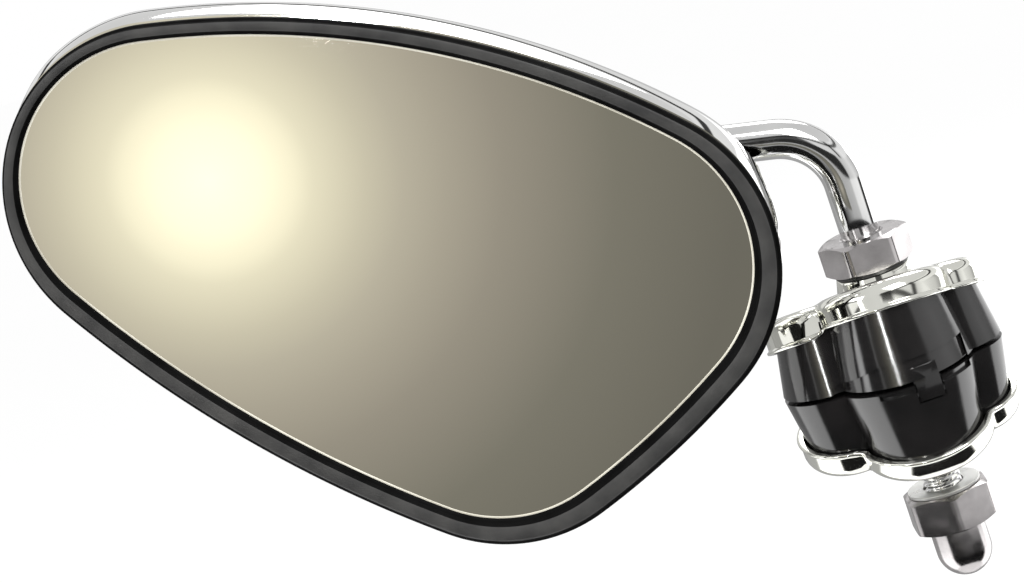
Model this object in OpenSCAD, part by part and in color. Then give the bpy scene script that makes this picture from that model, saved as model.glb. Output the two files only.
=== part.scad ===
// Clamp-on mirror for the leg shield of a scooter.
// Millimetres. The origin is the middle of the round groove between the jaws, which grips the
// rolled edge of the leg shield. X runs along that edge, Z up the stem, and the glass faces -Y.

/* [Head outline] */
// left corner arc, centre across
left_corner_x = -124.5; // [-128:0.5:-120]
// left corner arc, centre up
left_corner_z = 84; // [80:0.5:88]
// left corner arc, radius
left_corner_r = 32.9; // [30:0.1:36]
// right corner arc, centre across
right_corner_x = -48.5; // [-50:0.5:-47]
// right corner arc, centre up
right_corner_z = 40.6; // [39:0.2:42]
// right corner arc, radius
right_corner_r = 33.8; // [32:0.1:34]
// lower corner arc, centre across
low_corner_x = -75.9; // [-80:0.5:-74]
// lower corner arc, centre up
low_corner_z = 25.4; // [22:0.2:28]
// lower corner arc, radius
low_corner_r = 32; // [30:0.1:34]
// long upper side, radius
upper_side_r = 180; // [160:1:220]
// short side facing the clamp, radius
near_side_r = 177; // [160:1:220]
// long lower side, radius
lower_side_r = 250; // [220:1:300]

/* [Head depth] */
// front of the rubber surround, in front of the stem axis
head_front = 21; // [19:0.5:23]
// back of the dished shell, behind the stem axis
head_back = 14; // [13.5:0.25:15]
// how far the back of the shell draws in from its rim
dish_inset = 24; // [22:0.5:25]
// fullness of the dish, 2 is an ellipse
dish_power = 2.2; // [2:0.1:2.5]
// sheet thickness of the shell
shell_t = 0.8; // [0.6:0.1:1]

/* [Rubber surround and glass] */
// width of the rubber seen from the front
rubber_w = 4.35; // [3.5:0.05:5]
// glass opening, sideways shift inside the surround
opening_dx = -0.9; // [-1.2:0.1:0]
// glass opening, upward shift inside the surround
opening_dz = 0.6; // [0:0.1:1]
// width of the rounded outer lip
outer_lip_w = 1.1; // [0.8:0.1:1.4]
// width of the rounded inner lip
inner_lip_w = 0.9; // [0.7:0.1:1.2]
// how far the band between the lips lies back
lip_h = 0.7; // [0.4:0.1:1]
// glass thickness
glass_t = 2.6; // [2:0.1:3]
// glass hidden under the inner lip
glass_cover = 1.6; // [1.2:0.1:2]
// backing pad thickness
pad_t = 1.4; // [1:0.1:2]

/* [Stem] */
// stem diameter
stem_d = 8; // [8:0.1:8.2]
// radius of the bend, to the middle of the rod
bend_r = 13.5; // [12:0.5:15]
// height where the bend begins
bend_z = 38.5; // [37:0.5:40]
// angle turned by the bend
bend_angle = 78; // [76:1:80]
// straight length from the bend to the middle of the ball
arm_l = 34; // [33:0.5:35]
// ball diameter
ball_d = 12; // [11.6:0.2:12.2]
// neck diameter behind the ball
neck_d = 6; // [5.6:0.2:6.4]
// neck length, from the middle of the ball
neck_l = 10; // [9:0.5:12]
// thread pitch
pitch = 1.25; // [1:0.25:1.25]
// top of the threaded part of the stem
thread_top = 30; // [29:0.5:32]
// lower end of the threaded part of the stem
thread_end = -36.8; // [-37:0.1:-36]

/* [Ball socket] */
// thickness of the plastic seats round the ball
seat_t = 1; // [0.8:0.1:1.2]
// clearance between the ball and its seats
seat_play = 0.03; // [0.02:0.01:0.08]
// half angle of each seat, from the pole
seat_angle = 46; // [42:1:48]
// wall round the seats
socket_wall = 1.2; // [1:0.1:1.4]
// plate thickness
plate_t = 1.8; // [1.5:0.1:2]
// distance from the ball to each of the two screws
screw_reach = 12; // [11.5:0.25:12.5]
// clamping screw diameter
screw_d = 4; // [3.6:0.1:4]
// open hole in the shell round the stem, radius at the neck
stem_hole_r = 6.8; // [6.6:0.1:7.2]
// how far the stem can swing inside that hole, in degrees
stem_swing = 14; // [13:0.5:15]

/* [Jaws] */
// left lobe, middle across
left_lobe_x = -14.5; // [-15:0.1:-14]
// left lobe, radius at the split
left_lobe_r = 10.7; // [10.3:0.1:11]
// left lobe, how far its rim lies nearer the split
left_lobe_drop = 1.2; // [0.8:0.1:1.6]
// front lobe, distance of its middle in front of the stem
front_lobe_y = 4.9; // [4.5:0.1:5.3]
// front lobe, radius at the split
front_lobe_r = 14.4; // [14:0.1:14.8]
// right lobe, middle across
right_lobe_x = 11.6; // [11.2:0.1:12]
// right lobe, radius at the split
right_lobe_r = 9; // [8.7:0.1:9.4]
// rear lobe, distance of its middle behind the stem
rear_lobe_y = 4.5; // [4.2:0.1:5]
// rear lobe, radius at the split
rear_lobe_r = 12; // [11.6:0.1:12.4]
// height of the rims on the stem axis
rim_z = 10.8; // [10.4:0.1:11.2]
// how far the rims lean down towards the back, in degrees
lean = 16; // [15:0.5:18]
// how far the wall draws in for each mm of height
wall_draft = 0.17; // [0.14:0.01:0.18]
// moulded wall thickness
jaw_wall = 2.2; // [1.8:0.1:2.6]
// floor thickness above the mouth
jaw_floor = 3.2; // [2.8:0.1:3.6]
// gap left between the jaws in front of the mouth
heel_gap = 1; // [0.8:0.05:1.2]
// height of the open mouth for the leg shield
mouth_h = 4.4; // [4.2:0.1:5]
// where the mouth begins, behind the stem axis
mouth_y = 5.5; // [5:0.25:6]
// diameter of the rolled edge held in the mouth
edge_d = 8; // [7.5:0.25:8.5]
// distance of the rolled edge behind the stem axis
edge_y = 11; // [10.5:0.25:11.5]
// boss round the bore, radius
boss_r = 6.2; // [6:0.1:6.3]
// running clearance round the stem, radius
bore_play = 0.25; // [0.2:0.05:0.4]

/* [Caps] */
// height of a cap, square to its leaning rim
cap_h = 6; // [5.6:0.1:6.4]
// corner radius of a cap
cap_round = 3; // [2.6:0.1:3.4]
// sheet thickness of a cap
cap_t = 0.9; // [0.8:0.1:1]
// how far the jaw reaches up inside the cap
cap_cover = 1; // [0.8:0.1:1.2]
// clearance between the jaw and the skirt of the cap
cap_play = 0.2; // [0.15:0.05:0.3]
// width of the turned-out lip
cap_lip = 0.5; // [0.3:0.1:0.7]
// height of the flat seat under the nut, from the split
seat_z = 20.4; // [20.2:0.1:20.8]
// radius of the flat seat under the nut
seat_r = 7.5; // [7.4:0.1:7.7]
// how far the boss under the seat widens for each mm of depth
seat_flare = 0.25; // [0.2:0.05:0.3]

/* [Nuts and washers] */
// stem nut, width across the flats
nut_af = 16.5; // [16:0.25:17]
// stem nut, height
nut_h = 6.6; // [6:0.1:7]
// washer thickness
washer_t = 0.7; // [0.5:0.1:1]
// washer radius
washer_r = 7.6; // [7.3:0.1:8]
// cap nut, width across the flats
cap_nut_af = 16.5; // [16:0.25:17]
// cap nut, height of the hexagon
cap_nut_h = 7.8; // [7.4:0.1:8.2]
// cap nut, diameter of the dome
cap_nut_dome_d = 11.4; // [11:0.1:12]
// cap nut, depth of the whole nut
cap_nut_depth = 19.4; // [18.8:0.2:20]
// bare thread between the lower cap and the loose washer
bare_thread = 6.6; // [6.4:0.1:7]

/* [Hidden] */
$fn = 96;
eps = 0.01;
over = 1;

// head levels along Y, negative towards the viewer
front_y = -head_front;
glass_front_y = front_y + 1.7;
glass_back_y = glass_front_y + glass_t;
pad_back_y = glass_back_y + pad_t;
rim_y = front_y + 2;
rubber_back_y = glass_back_y + 1.6;

// ball, at the end of the bent stem
arm_dir = [-sin(bend_angle), cos(bend_angle)];
bend_end = [-bend_r + bend_r * cos(bend_angle), bend_z + bend_r * sin(bend_angle)];
ball = bend_end + arm_l * arm_dir;
ball_r = ball_d / 2;
seat_in_r = ball_r + seat_play;
seat_out_r = seat_in_r + seat_t;
socket_r = seat_out_r + seat_play;
socket_out_r = socket_r + socket_wall;

// socket pieces
plate_in_y = 5.6;
plate_out_y = plate_in_y + plate_t;
socket_lip_y = 4.7;
web_out_y = 8.4;
shell_pad_y = head_back - 1.8;
shell_pad_t = 0.8;
left_screw = ball + screw_reach * [-1, 0];
low_screw = ball + screw_reach * [0.1, -0.995];
heel = ball + [-0.8, -0.8] * screw_reach;
screw_head_r = 3.6;
screw_head_h = 2.2;
nut_m4_af = 7;
nut_m4_h = 3.2;
lock_washer_t = 0.9;

// clamp levels
heel_z = heel_gap / 2;
mouth_z = mouth_h / 2;
washer_top_z = seat_z + washer_t;
cap_nut_top_z = -(seat_z + bare_thread + washer_t);
thread_r = stem_d / 2;
bore_r = thread_r + bore_play;

// centre of the arc of radius big that touches two corner arcs from outside
function side_centre(a, ra, b, rb, big) =
    let (
        span = norm(b - a),
        da = big - ra,
        db = big - rb,
        e = (b - a) / span,
        x = (span * span + da * da - db * db) / (2 * span),
        h = sqrt(da * da - x * x)
    )
    a + e * x + [e[1], -e[0]] * h;

function heading(v) = atan2(v[1], v[0]);

// points clockwise along an arc
function arc(c, r, from, to, n) =
    let (turn = (from - to + 720) % 360)
    [for (i = [0 : n - 1]) c + r * [cos(from - turn * i / n), sin(from - turn * i / n)]];

left_c = [left_corner_x, left_corner_z];
right_c = [right_corner_x, right_corner_z];
low_c = [low_corner_x, low_corner_z];
upper_o = side_centre(left_c, left_corner_r, right_c, right_corner_r, upper_side_r);
near_o = side_centre(right_c, right_corner_r, low_c, low_corner_r, near_side_r);
lower_o = side_centre(low_c, low_corner_r, left_c, left_corner_r, lower_side_r);
upper_from = heading(left_c - upper_o);
upper_to = heading(right_c - upper_o);
near_from = heading(right_c - near_o);
near_to = heading(low_c - near_o);
lower_from = heading(low_c - lower_o);
lower_to = heading(left_c - lower_o);

// head outline drawn in by inset on every side
function outline_points(inset) = concat(
    arc(upper_o, upper_side_r - inset, upper_from, upper_to, 14),
    arc(right_c, right_corner_r - inset, upper_to, near_from, 16),
    arc(near_o, near_side_r - inset, near_from, near_to, 6),
    arc(low_c, low_corner_r - inset, near_to, lower_from, 16),
    arc(lower_o, lower_side_r - inset, lower_from, lower_to, 10),
    arc(left_c, left_corner_r - inset, lower_to, upper_from, 20)
);

module outline(inset) {
    polygon(outline_points(inset));
}

module opening(inset) {
    translate([opening_dx, opening_dz])
        outline(rubber_w + inset);
}

// everything below is laid out round the stem, which stands in front of the gripped edge
module placed() {
    translate([0, -edge_y, 0])
        children();
}

// flat shape standing across Y, from y0 back to y1
module across(y0, y1) {
    translate([0, y1, 0])
        rotate([90, 0, 0])
            linear_extrude(height = y1 - y0)
                children();
}

// round bar along Y at a place given across and up
module bar(at, r, y0, y1) {
    translate([at[0], y1, at[1]])
        rotate([90, 0, 0])
            cylinder(r = r, h = y1 - y0);
}

module hex(af, h) {
    cylinder(d = af / cos(30), h = h, $fn = 6);
}

// hexagon with both ends turned down to a cone
module turned_hex(af, h) {
    flat = af / 2;
    big = flat / cos(30) + over;
    rise = (big - flat) * 0.5;
    intersection() {
        hex(af, h);
        rotate_extrude()
            polygon([[0, 0], [flat, 0], [big, rise], [big, h - rise], [flat, h], [0, h]]);
    }
}

dish_steps = 8;

// inset of the dish at a share of its depth
function dish_at(s) = dish_inset * (1 - pow(1 - pow(s, dish_power), 1 / dish_power));

module dish(shrink) {
    depth = head_back - rim_y;
    hull()
        for (i = [0 : dish_steps]) {
            s = sin(90 * i / dish_steps);
            y = rim_y + (depth - shrink) * s;
            across(y - eps, y)
                outline(shell_rim_inset + shrink + dish_at(s));
        }
}

shell_rim_inset = 0.35;

stem_hole_l = 30;

// hole that opens outwards with the swing of the stem
module stem_hole() {
    translate([ball[0], 0, ball[1]])
        rotate([0, 90 - heading(-arm_dir), 0])
            translate([0, 0, neck_l])
                cylinder(r1 = stem_hole_r, r2 = stem_hole_r + stem_hole_l * tan(stem_swing), h = stem_hole_l);
}

module head_shell() {
    color("silver")
        difference() {
            union() {
                difference() {
                    dish(0);
                    dish(shell_t);
                    across(rim_y - 2, rim_y + eps)
                        outline(shell_rim_inset + shell_t);
                }
                screw_pads(screw_head_r + 1.6, shell_pad_y, head_back);
            }
            for (at = [left_screw, low_screw]) {
                bar(at, screw_head_r + 0.6, shell_pad_y + shell_pad_t, head_back + over);
                bar(at, screw_d / 2 + 0.2, 0, head_back);
            }
            stem_hole();
        }
}

// flat pressed pads round the two screws
module screw_pads(r, y0, y1) {
    intersection() {
        union()
            for (at = [left_screw, low_screw])
                bar(at, r, y0, y1);
        dish(0);
    }
}

// clearance between the rubber and the inside of the shell
leg_play = 0.3;

// rubber surround: two rounded lips with a lower band between them, and a groove for the glass
module bezel_rubber() {
    color("black")
        difference() {
            across(front_y + lip_h, rubber_back_y)
                difference() {
                    outline(0);
                    opening(0);
                }
            across(glass_front_y, glass_back_y)
                opening(-glass_cover);
            across(glass_back_y - eps, rubber_back_y + over)
                opening(-glass_cover + 0.6);
            // groove for the rim of the shell
            across(rim_y - 0.05, rubber_back_y + over)
                difference() {
                    outline(-over);
                    outline(shell_rim_inset + shell_t + leg_play);
                }
        }
    color("black")
        across(front_y, front_y + lip_h)
            difference() {
                outline(0.15);
                outline(outer_lip_w);
            }
    color("black")
        across(front_y, front_y + lip_h)
            difference() {
                opening(-inner_lip_w);
                opening(0);
            }
}

module mirror_glass() {
    color("lightsteelblue")
        across(glass_front_y + 0.02, glass_back_y - 0.02)
            opening(0.05 - glass_cover);
}

module backing_pad() {
    color("dimgray")
        across(glass_back_y + 0.02, pad_back_y)
            opening(0.8 - glass_cover);
}

module on_ball() {
    translate([ball[0], 0, ball[1]])
        children();
}

module ball_housing() {
    color("darkgray")
        difference() {
            union() {
                across(plate_in_y, web_out_y)
                    socket_web();
                bar(ball, socket_out_r - 0.3, socket_lip_y, plate_in_y + over);
                intersection() {
                    on_ball()
                        sphere(r = socket_out_r);
                    bar(ball, socket_out_r, socket_lip_y, socket_out_r + over);
                }
                for (at = [left_screw, low_screw])
                    bar(at, 4.4, plate_in_y, shell_pad_y - 0.02);
                bar(heel, 3.2, -plate_in_y + 0.02, plate_in_y + over);
            }
            on_ball()
                sphere(r = socket_r);
            for (at = [left_screw, low_screw])
                bar(at, screw_d / 2 + 0.1, 0, head_back);
        }
}

// straight-sided web joining the ball, the screws and the heel
module socket_web() {
    polygon([
        ball + [-1, 6],
        left_screw + [0, 4.4],
        left_screw + [-4.4, 0],
        heel + [-4, -3],
        heel + [-3, -4],
        low_screw + [0, -4.4],
        low_screw + [4.4, 0],
        ball + [6, -3]
    ]);
}

module clamp_plate() {
    color("silver")
        difference() {
            union() {
                across(-plate_out_y, -plate_in_y)
                    socket_web();
                bar(ball, socket_out_r - 0.3, -plate_in_y - over, -socket_lip_y);
                intersection() {
                    on_ball()
                        sphere(r = socket_out_r);
                    bar(ball, socket_out_r, -socket_out_r - over, -socket_lip_y);
                }
            }
            on_ball()
                sphere(r = socket_r);
            for (at = [left_screw, low_screw])
                bar(at, screw_d / 2 + 0.1, -head_front, 0);
        }
}

module plate_screws() {
    color("gainsboro")
        for (at = [left_screw, low_screw])
            difference() {
                union() {
                    bar(at, screw_d / 2, -plate_out_y - lock_washer_t - nut_m4_h - 1, shell_pad_y + over);
                    bar(at, screw_head_r, shell_pad_y + shell_pad_t + 0.02, shell_pad_y + shell_pad_t + screw_head_h);
                }
                translate([at[0], shell_pad_y + shell_pad_t + screw_head_h, at[1]])
                    rotate([0, 35, 0])
                        cube([2 * screw_head_r + over, 1.8, 1], center = true);
            }
}

module plate_nuts() {
    color("silver")
        for (at = [left_screw, low_screw])
            difference() {
                translate([at[0], -plate_out_y - lock_washer_t - 0.02, at[1]])
                    rotate([90, 0, 0])
                        hex(nut_m4_af, nut_m4_h);
                bar(at, screw_d / 2 + 0.04, -head_front, 0);
            }
}

module spring_washers() {
    color("gray")
        for (at = [left_screw, low_screw])
            difference() {
                bar(at, 3.3, -plate_out_y - lock_washer_t, -plate_out_y - 0.02);
                bar(at, screw_d / 2 + 0.1, -head_front, 0);
                translate([at[0], -plate_out_y - lock_washer_t / 2, at[1] + 3])
                    rotate([0, 0, 20])
                        cube([0.5, 3, 4], center = true);
            }
}

// spherical cup round the pole of the ball
module seat_cup() {
    rotate_extrude()
        intersection() {
            difference() {
                circle(r = seat_out_r);
                circle(r = seat_in_r);
            }
            polygon([
                [0, 0],
                [seat_out_r * 2 * sin(seat_angle), seat_out_r * 2 * cos(seat_angle)],
                [0, seat_out_r * 2]
            ]);
        }
}

module seat_rear() {
    color("ivory")
        on_ball()
            rotate([-90, 0, 0])
                seat_cup();
}

module seat_front() {
    color("ivory")
        on_ball()
            rotate([90, 0, 0])
                seat_cup();
}

// rings of thread from z0 up to z1
module thread(z0, z1, r) {
    turns = floor((z1 - z0) / pitch);
    depth = pitch * 0.5;
    rotate_extrude()
        polygon(concat(
            [[0, z0]],
            [for (i = [0 : turns - 1]) each [
                [r - depth, z0 + i * pitch],
                [r, z0 + (i + 0.5) * pitch]
            ]],
            [[r - depth, z0 + turns * pitch], [0, z0 + turns * pitch]]
        ));
}

module stem() {
    thread_z = thread_end + pitch * floor((thread_top - thread_end) / pitch);
    color("silver")
        union() {
            thread(thread_end, thread_top, thread_r);
            translate([0, 0, thread_z - over])
                cylinder(r = thread_r, h = bend_z - thread_z + over);
            translate([-bend_r, 0, bend_z])
                rotate([90, 0, 0])
                    rotate_extrude(angle = bend_angle)
                        translate([bend_r, 0])
                            circle(r = thread_r);
            translate([bend_end[0], 0, bend_end[1]])
                rotate([0, -bend_angle, 0])
                    union() {
                        cylinder(r = thread_r, h = arm_l - neck_l);
                        // core that joins the bend and the arm
                        translate([0, 0, -over])
                            cylinder(r = thread_r / 2, h = 2 * over);
                    }
            on_ball()
                rotate([0, 180 - bend_angle, 0])
                    cylinder(r = neck_d / 2, h = neck_l);
            on_ball()
                sphere(r = ball_r);
        }
}

// how far the corners of the nuts are turned as tightened, in degrees
stem_nut_turn = 4;
cap_nut_turn = 24;

module stem_nut() {
    color("gray")
        translate([0, 0, washer_top_z + 0.02])
            difference() {
                rotate([0, 0, stem_nut_turn])
                    turned_hex(nut_af, nut_h);
                translate([0, 0, -over])
                    cylinder(r = thread_r + 0.04, h = nut_h + 2 * over);
            }
}

module washer_ring() {
    difference() {
        cylinder(r = washer_r, h = washer_t);
        translate([0, 0, -over])
            cylinder(r = bore_r, h = washer_t + 2 * over);
    }
}

module washer_upper() {
    color("silver")
        translate([0, 0, seat_z])
            washer_ring();
}

module washer_lower() {
    color("silver")
        translate([0, 0, cap_nut_top_z])
            washer_ring();
}

module cap_nut() {
    dome_r = cap_nut_dome_d / 2;
    bore_depth = cap_nut_depth - 4;
    color("silver")
        translate([0, 0, cap_nut_top_z - 0.02])
            mirror([0, 0, 1])
                difference() {
                    union() {
                            rotate([0, 0, cap_nut_turn])
                            turned_hex(cap_nut_af, cap_nut_h);
                        cylinder(r = dome_r, h = cap_nut_depth - dome_r);
                        translate([0, 0, cap_nut_depth - dome_r])
                            sphere(r = dome_r);
                    }
                    translate([0, 0, -over])
                        cylinder(r = thread_r + 0.04, h = bore_depth + over);
                }
}

// children laid out on the leaning rim of the upper jaw, which passes through the stem axis
module leaning() {
    translate([0, 0, rim_z])
        rotate([-lean, 0, 0])
            children();
}

// everything up to a level above the leaning rim
module below_rim(level) {
    leaning()
        translate([-60, -60, level - 60])
            cube([120, 120, 60]);
}

lobe_top_z = 19;

// drafted round lobe, grown sideways by grow, from z0 up to a level above its rim
module lobe(x, y, r, drop, grow, z0, level) {
    intersection() {
        translate([x, y, z0])
            cylinder(
                r1 = r + grow - wall_draft * z0,
                r2 = r + grow - wall_draft * lobe_top_z,
                h = lobe_top_z - z0
            );
        below_rim(level - drop);
    }
}

module lobes(grow, z0, level) {
    lobe(left_lobe_x, 0, left_lobe_r, left_lobe_drop, grow, z0, level);
    lobe(0, -front_lobe_y, front_lobe_r, 0, grow, z0, level);
    lobe(right_lobe_x, 0, right_lobe_r, 0, grow, z0, level);
    lobe(0, rear_lobe_y, rear_lobe_r, 0, grow, z0, level);
}

floor_z = mouth_z + jaw_floor;
rib_t = 1.8;
rib_drop = 1.5;
seam_band_d = 0.7;
upper_band = [[-15, 0], [-15, 1.8], [-5, 5], [12.5, 5], [12.5, 0]];
lower_band = [[-6.5, 0], [-6.5, 1.7], [12.5, 1.7], [12.5, 0]];
band_back_y = -6;
tongue_x = 1;
tongue_w = 5;
tongue_t = 2.6;
tongue_h = 4;
tongue_play = 0.3;
tongue_y = -front_lobe_y - front_lobe_r + 1.2;

// upper jaw; band is the outline of the shallow step along the split, seen from the front
module jaw(band) {
    difference() {
        union() {
            difference() {
                lobes(0, heel_z, cap_cover);
                lobes(-jaw_wall, floor_z, cap_cover + over);
                difference() {
                    across(-2 * front_lobe_r, band_back_y)
                        polygon(band);
                    lobes(-seam_band_d, 0, 0);
                }
            }
            cylinder(r = boss_r, h = seat_z - cap_t - 0.02);
            intersection() {
                lobes(-jaw_wall / 2, floor_z - over, -rib_drop);
                union() {
                    translate([-30, -rib_t / 2, floor_z - over])
                        cube([60, rib_t, 20]);
                    for (x = [left_lobe_x, 0, right_lobe_x])
                        translate([x - rib_t / 2, -30, floor_z - over])
                            cube([rib_t, 60, 20]);
                }
            }
        }
        // open mouth, with the round groove for the rolled edge
        translate([-40, mouth_y, -over])
            cube([80, 60, mouth_z + over]);
        translate([-40, edge_y, 0])
            rotate([0, 90, 0])
                cylinder(d = edge_d, h = 80);
        // gap in front of the mouth
        translate([-40, -40, -over])
            cube([80, 80, heel_z + over]);
        translate([0, 0, -over])
            cylinder(r = bore_r, h = seat_z + 2 * over);
    }
}

module jaw_upper() {
    color("black")
        union() {
            jaw(upper_band);
            translate([tongue_x, tongue_y, -tongue_h])
                cube([tongue_w, tongue_t, tongue_h + 3]);
        }
}

module jaw_lower() {
    color("black")
        difference() {
            mirror([0, 0, 1])
                jaw(lower_band);
            translate([tongue_x - tongue_play, tongue_y - 2 * over, -tongue_h - tongue_play])
                cube([tongue_w + 2 * tongue_play, tongue_t + tongue_play + 2 * over, tongue_h + over]);
        }
}

// radius of a pan in its leaning plane, so that it clears the drafted jaw inside it
function pan_r(r, y, drop) =
    (r - wall_draft * (rim_z - drop / cos(lean) - tan(lean) * y) + cap_play) / cos(lean) + cap_t;

// middle of a pan along the leaning plane, at the level of its own rim
function pan_y(r, y, drop) = (y + wall_draft * tan(lean) * r) / cos(lean) + drop * tan(lean);

// solid pan over one lobe, t in from the outer face
module pan(x, y, r, drop, t) {
    r_out = pan_r(r, y, drop) - t;
    bottom = t > 0 ? -left_lobe_drop - over : -drop;
    top = cap_h - drop / 2 - t;
    corner = cap_round - t;
    translate([x, pan_y(r, y, drop), 0])
        rotate_extrude()
            union() {
                translate([0, bottom])
                    square([r_out - corner, top - bottom]);
                translate([0, bottom])
                    square([r_out, top - corner - bottom]);
                translate([r_out - corner, top - corner])
                    circle(r = corner);
                if (t == 0)
                    translate([0, bottom])
                        square([r_out + cap_lip, cap_t * 0.8]);
            }
}

module pans(t) {
    leaning() {
        pan(left_lobe_x, 0, left_lobe_r, left_lobe_drop, t);
        pan(0, -front_lobe_y, front_lobe_r, 0, t);
        pan(right_lobe_x, 0, right_lobe_r, 0, t);
        pan(0, rear_lobe_y, rear_lobe_r, 0, t);
    }
}

// flared boss that carries the nut square to the stem, t in from the outer face
module seat_boss(t) {
    depth = 12;
    difference() {
        translate([0, 0, seat_z - t - depth])
            cylinder(r1 = seat_r - t + seat_flare * depth, r2 = seat_r - t, h = depth);
        below_rim(cap_cover);
    }
}

module cap() {
    difference() {
        union() {
            pans(0);
            seat_boss(0);
        }
        pans(cap_t);
        seat_boss(cap_t);
        cylinder(r = bore_r, h = seat_z + over);
    }
}

module cap_upper() {
    color("lightgray")
        cap();
}

module cap_lower() {
    color("lightgray")
        mirror([0, 0, 1])
            cap();
}

placed() mirror_glass();
placed() bezel_rubber();
placed() backing_pad();
placed() head_shell();
placed() ball_housing();
placed() clamp_plate();
placed() plate_screws();
placed() plate_nuts();
placed() spring_washers();
placed() seat_rear();
placed() seat_front();
placed() stem();
placed() stem_nut();
placed() washer_upper();
placed() cap_upper();
placed() jaw_upper();
placed() jaw_lower();
placed() cap_lower();
placed() washer_lower();
placed() cap_nut();
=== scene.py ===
import math

import bmesh
import bpy
import numpy as np
from mathutils import Matrix, Vector


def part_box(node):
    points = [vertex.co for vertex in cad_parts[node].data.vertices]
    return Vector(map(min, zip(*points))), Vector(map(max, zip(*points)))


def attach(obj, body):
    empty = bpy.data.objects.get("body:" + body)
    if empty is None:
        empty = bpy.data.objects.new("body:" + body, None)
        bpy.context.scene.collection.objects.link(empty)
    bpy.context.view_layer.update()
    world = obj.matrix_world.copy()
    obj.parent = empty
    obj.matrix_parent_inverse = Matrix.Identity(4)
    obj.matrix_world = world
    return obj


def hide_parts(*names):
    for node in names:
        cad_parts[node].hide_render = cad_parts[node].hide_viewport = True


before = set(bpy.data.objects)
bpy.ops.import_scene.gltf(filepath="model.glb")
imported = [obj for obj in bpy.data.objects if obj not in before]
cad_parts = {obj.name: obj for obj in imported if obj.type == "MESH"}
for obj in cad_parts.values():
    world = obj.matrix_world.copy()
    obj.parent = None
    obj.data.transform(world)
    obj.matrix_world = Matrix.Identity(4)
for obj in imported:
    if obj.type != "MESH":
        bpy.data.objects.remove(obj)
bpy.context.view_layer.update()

MM = 0.001

# where the stem stands in the frame, and the levels that the CAD pieces give
STEM_Y = (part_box("stem_nut")[0][1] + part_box("stem_nut")[1][1]) / 2
FRONT_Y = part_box("bezel_rubber")[0][1]
BACK_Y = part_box("head_shell")[1][1]
RIM_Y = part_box("head_shell")[0][1]


# Camera

# picture size, and where the middle of the clamp shows in it
PICTURE_W = 1024
PICTURE_H = 583
CLAMP_AT = (902.85, 361.45)
CAMERA_DISTANCE = 0.520
PIXELS_PER_METRE = 4940
CAMERA_AZIMUTH = math.radians(8)
CAMERA_ELEVATION = math.radians(11)
CAMERA_ROLL = math.radians(19.8)


def make_camera():
    az, el, roll = CAMERA_AZIMUTH, CAMERA_ELEVATION, CAMERA_ROLL
    back = Vector((math.sin(az) * math.cos(el), -math.cos(az) * math.cos(el), math.sin(el)))
    level_right = Vector((math.cos(az), math.sin(az), 0))
    level_up = back.cross(level_right)
    right = level_right * math.cos(roll) - level_up * math.sin(roll)
    up = level_right * math.sin(roll) + level_up * math.cos(roll)
    focal_pixels = PIXELS_PER_METRE * CAMERA_DISTANCE
    aside = (CLAMP_AT[0] - PICTURE_W / 2) / PIXELS_PER_METRE
    above = -(CLAMP_AT[1] - PICTURE_H / 2) / PIXELS_PER_METRE
    place = Vector((0, STEM_Y, 0)) + back * CAMERA_DISTANCE - right * aside - up * above
    data = bpy.data.cameras.new("camera")
    data.sensor_width = 36
    data.lens = focal_pixels * data.sensor_width / PICTURE_W
    data.clip_start = 0.01
    data.clip_end = 50
    camera = bpy.data.objects.new("camera", data)
    bpy.context.scene.collection.objects.link(camera)
    turn = Matrix((right, up, back)).transposed().to_4x4()
    camera.matrix_world = Matrix.Translation(place) @ turn
    bpy.context.scene.camera = camera
    return camera


make_camera()


# Mesh helpers

def new_object(name, verts, faces, material, smooth_angle=40):
    data = bpy.data.meshes.new(name)
    data.from_pydata([tuple(v) for v in verts], [], faces)
    data.validate()
    data.materials.append(material)
    obj = bpy.data.objects.new(name, data)
    bpy.context.scene.collection.objects.link(obj)
    tidy_normals(obj, smooth_angle)
    return obj


def tidy_normals(obj, smooth_angle=40):
    work = bmesh.new()
    work.from_mesh(obj.data)
    bmesh.ops.remove_doubles(work, verts=work.verts, dist=1e-7)
    bmesh.ops.recalc_face_normals(work, faces=work.faces)
    limit = math.radians(smooth_angle)
    for edge in work.edges:
        edge.smooth = len(edge.link_faces) == 2 and edge.calc_face_angle(0) < limit
    for face in work.faces:
        face.smooth = True
    work.to_mesh(obj.data)
    work.free()


def loft(rings, closed=False, cap_ends=True):
    """Vertices and faces of a skin over closed rings of equal length."""
    count = len(rings[0])
    verts = [tuple(p) for ring in rings for p in ring]
    faces = []
    spans = len(rings) if closed else len(rings) - 1
    for i in range(spans):
        a, b = i * count, (i + 1) % len(rings) * count
        for j in range(count):
            k = (j + 1) % count
            faces.append((a + j, a + k, b + k, b + j))
    if cap_ends and not closed:
        faces.append(tuple(range(count - 1, -1, -1)))
        last = (len(rings) - 1) * count
        faces.append(tuple(last + j for j in range(count)))
    return verts, faces


def cut(obj, *cutters):
    """Takes the cutters out of obj, and removes them."""
    for cutter in cutters:
        step = obj.modifiers.new("cut", "BOOLEAN")
        step.operation = "DIFFERENCE"
        step.solver = "EXACT"
        step.object = cutter
        apply_modifiers(obj)
        bpy.data.objects.remove(cutter)


def apply_modifiers(obj):
    deps = bpy.context.evaluated_depsgraph_get()
    data = bpy.data.meshes.new_from_object(obj.evaluated_get(deps))
    obj.modifiers.clear()
    obj.data = data


# Materials

NOISE_SPAN = (0.3, 0.7)
OBJECT_NOISE_DETAIL = 3.0
BUMP_DETAIL = 5.0


def feed(tree, node, inputs):
    """Sets a node's inputs, or links them where a socket is given. Returns the node."""
    for key, value in inputs.items():
        if isinstance(value, bpy.types.NodeSocket):
            tree.links.new(value, node.inputs[key])
        else:
            node.inputs[key].default_value = value
    return node


def new_node(tree, kind, inputs):
    return feed(tree, tree.nodes.new(kind), inputs)


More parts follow.
